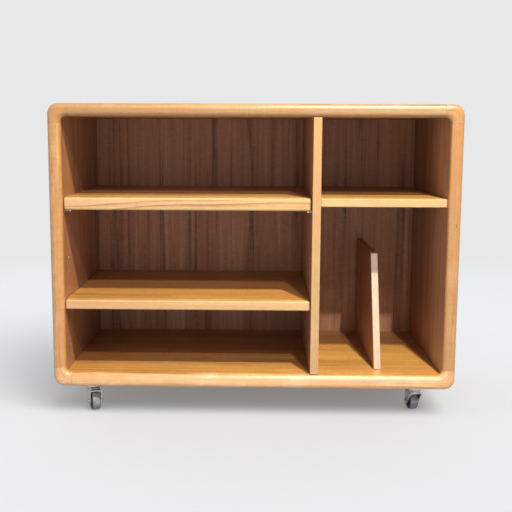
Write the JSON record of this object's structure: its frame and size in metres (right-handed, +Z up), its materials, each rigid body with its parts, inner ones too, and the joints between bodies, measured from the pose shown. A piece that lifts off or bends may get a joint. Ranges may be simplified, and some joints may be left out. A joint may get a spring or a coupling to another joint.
{
  "type": "bookcase with adjustable shelves",
  "caption": "Low open teak bookcase with rounded bullnose frame, adjustable shelves, a sloped record divider and swivel casters.",
  "frame": {"origin": "on the floor under the middle of the carcase", "axes": "+Z up, +X along the open front from left to right as seen from the front, +Y from the open front to the back panel"},
  "size_m": [0.85, 0.395, 0.656],
  "materials": {
    "solid_teak": "oiled solid teak with a satin sheen",
    "teak_veneer": "oiled teak veneer on board, satin",
    "back_veneer": "dark teak veneer on thin plywood, matt",
    "zinc_steel": "zinc plated pressed steel",
    "nickel_steel": "bright nickel plated steel",
    "hub_plastic": "moulded dark grey nylon",
    "tyre_rubber": "worn grey rubber tread"
  },
  "bodies": {
    "carcase": {"back_panel": "back_veneer", "bottom_panel": "teak_veneer", "caster_front_left_kingpin": "zinc_steel", "caster_front_left_plate": "zinc_steel", "caster_front_right_kingpin": "zinc_steel", "caster_front_right_plate": "zinc_steel", "caster_rear_left_kingpin": "zinc_steel", "caster_rear_left_plate": "zinc_steel", "caster_rear_right_kingpin": "zinc_steel", "caster_rear_right_plate": "zinc_steel", "corner_post_bottom_left": "solid_teak", "corner_post_bottom_right": "solid_teak", "corner_post_top_left": "solid_teak", "corner_post_top_right": "solid_teak", "divider_board": "teak_veneer", "divider_lipping": "solid_teak", "frame_corner_bottom_left": "solid_teak", "frame_corner_bottom_right": "solid_teak", "frame_corner_top_left": "solid_teak", "frame_corner_top_right": "solid_teak", "frame_rail_bottom": "solid_teak", "frame_rail_top": "solid_teak", "frame_stile_left": "solid_teak", "frame_stile_right": "solid_teak", "partition": "teak_veneer", "partition_lipping": "solid_teak", "right_shelf_board": "teak_veneer", "right_shelf_lip": "solid_teak", "side_left": "teak_veneer", "side_right": "teak_veneer", "stud_lower_back_left": "nickel_steel", "stud_lower_back_right": "nickel_steel", "stud_lower_front_left": "nickel_steel", "stud_lower_front_right": "nickel_steel", "stud_upper_back_left": "nickel_steel", "stud_upper_back_right": "nickel_steel", "stud_upper_front_left": "nickel_steel", "stud_upper_front_right": "nickel_steel", "top_panel": "teak_veneer"},
    "upper_shelf": {"upper_shelf_board": "teak_veneer", "upper_shelf_lip": "solid_teak"},
    "lower_shelf": {"lower_shelf_board": "teak_veneer", "lower_shelf_lip": "solid_teak"},
    "fork_front_left": {"caster_front_left_fork": "zinc_steel", "caster_front_left_axle": "zinc_steel"},
    "wheel_front_left": {"caster_front_left_hub": "hub_plastic", "caster_front_left_tyre": "tyre_rubber"},
    "fork_front_right": {"caster_front_right_fork": "zinc_steel", "caster_front_right_axle": "zinc_steel"},
    "wheel_front_right": {"caster_front_right_hub": "hub_plastic", "caster_front_right_tyre": "tyre_rubber"},
    "fork_rear_left": {"caster_rear_left_fork": "zinc_steel", "caster_rear_left_axle": "zinc_steel"},
    "wheel_rear_left": {"caster_rear_left_hub": "hub_plastic", "caster_rear_left_tyre": "tyre_rubber"},
    "fork_rear_right": {"caster_rear_right_fork": "zinc_steel", "caster_rear_right_axle": "zinc_steel"},
    "wheel_rear_right": {"caster_rear_right_hub": "hub_plastic", "caster_rear_right_tyre": "tyre_rubber"}
  },
  "joints": [
    {"name": "upper_shelf_lift", "type": "slide", "parent": "carcase", "child": "upper_shelf", "axis": [0, 0, 1], "range_m": [0, 0.165]},
    {"name": "lower_shelf_lift", "type": "slide", "parent": "carcase", "child": "lower_shelf", "axis": [0, 0, 1], "range_m": [0, 0.18]},
    {"name": "front_left_swivel", "type": "hinge", "parent": "carcase", "child": "fork_front_left", "pos_m": [-0.3485, -0.1505, 0.0425], "axis": [0, 0, 1], "continuous": true},
    {"name": "front_left_roll", "type": "hinge", "parent": "fork_front_left", "child": "wheel_front_left", "pos_m": [-0.34342, -0.16247, 0.019], "axis": [0.9205, 0.3907, 0], "continuous": true},
    {"name": "front_right_swivel", "type": "hinge", "parent": "carcase", "child": "fork_front_right", "pos_m": [0.3485, -0.1505, 0.0425], "axis": [0, 0, 1], "continuous": true},
    {"name": "front_right_roll", "type": "hinge", "parent": "fork_front_right", "child": "wheel_front_right", "pos_m": [0.34647, -0.13766, 0.019], "axis": [-0.9877, -0.1564, 0], "continuous": true},
    {"name": "rear_left_swivel", "type": "hinge", "parent": "carcase", "child": "fork_rear_left", "pos_m": [-0.3485, 0.1505, 0.0425], "axis": [0, 0, 1], "continuous": true},
    {"name": "rear_left_roll", "type": "hinge", "parent": "fork_rear_left", "child": "wheel_rear_left", "pos_m": [-0.34405, 0.16272, 0.019], "axis": [-0.9397, 0.342, 0], "continuous": true},
    {"name": "rear_right_swivel", "type": "hinge", "parent": "carcase", "child": "fork_rear_right", "pos_m": [0.3485, 0.1505, 0.0425], "axis": [0, 0, 1], "continuous": true},
    {"name": "rear_right_roll", "type": "hinge", "parent": "fork_rear_right", "child": "wheel_rear_right", "pos_m": [0.34301, 0.16228, 0.019], "axis": [-0.9063, -0.4226, 0], "continuous": true}
  ]
}
